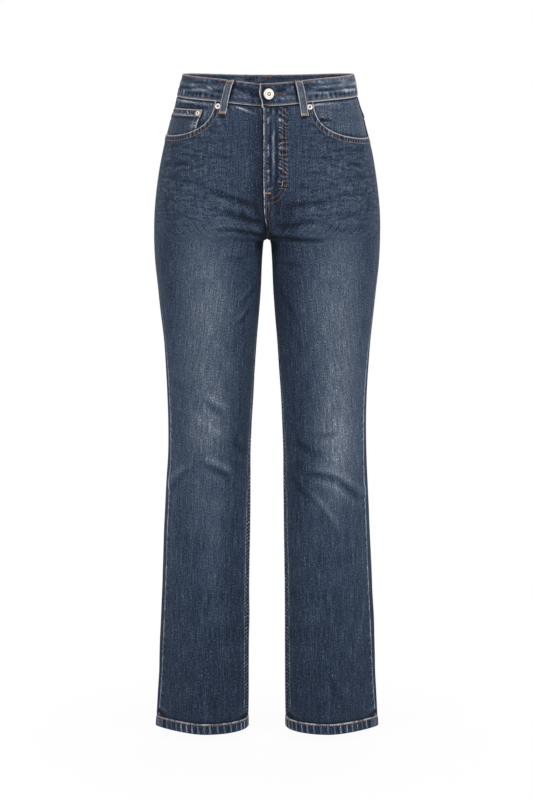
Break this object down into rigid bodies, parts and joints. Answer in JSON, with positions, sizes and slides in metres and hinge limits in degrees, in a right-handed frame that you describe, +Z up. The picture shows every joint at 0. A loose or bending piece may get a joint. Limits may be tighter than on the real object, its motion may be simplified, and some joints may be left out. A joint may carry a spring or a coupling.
{
  "type": "straight-leg jeans",
  "caption": "High-waisted straight-leg denim jeans, filled out as worn, with a zip fly, front scoop pockets, coin pocket and belt loops.",
  "frame": {"origin": "middle of the waistband ring, at half its height, where the wearer's waist holds the jeans up", "axes": "+Z up, front towards -Y, the wearer's left towards +X"},
  "size_m": [0.3558, 0.2383, 1.0368],
  "materials": {
    "denim": "washed indigo twill, faded on the thighs and knees",
    "band_denim": "washed indigo twill with pale worn edges",
    "facing_denim": "washed indigo twill, less faded",
    "pocket_cotton": "plain unbleached cotton",
    "zip_tape": "woven tape with its chain",
    "worn_nickel": "satin, slightly worn"
  },
  "bodies": {
    "root": {"front_left": "denim", "front_right": "denim", "back_left": "denim", "back_right": "denim", "yoke_left": "denim", "yoke_right": "denim", "waistband": "band_denim", "pocket_facing_left": "facing_denim", "pocket_facing_right": "facing_denim", "coin_pocket": "facing_denim", "pocket_bag_left": "pocket_cotton", "pocket_bag_right": "pocket_cotton", "back_pocket_left": "denim", "back_pocket_right": "denim", "fly_shield": "facing_denim", "fly_zip": "zip_tape", "belt_loop_front_left": "band_denim", "belt_loop_front_right": "band_denim", "belt_loop_side_left": "band_denim", "belt_loop_side_right": "band_denim", "belt_loop_back": "band_denim", "hem_left": "band_denim", "hem_right": "band_denim", "waist_button": "worn_nickel", "rivet_left": "worn_nickel", "rivet_right": "worn_nickel", "rivet_coin": "worn_nickel"}
  },
  "joints": []
}
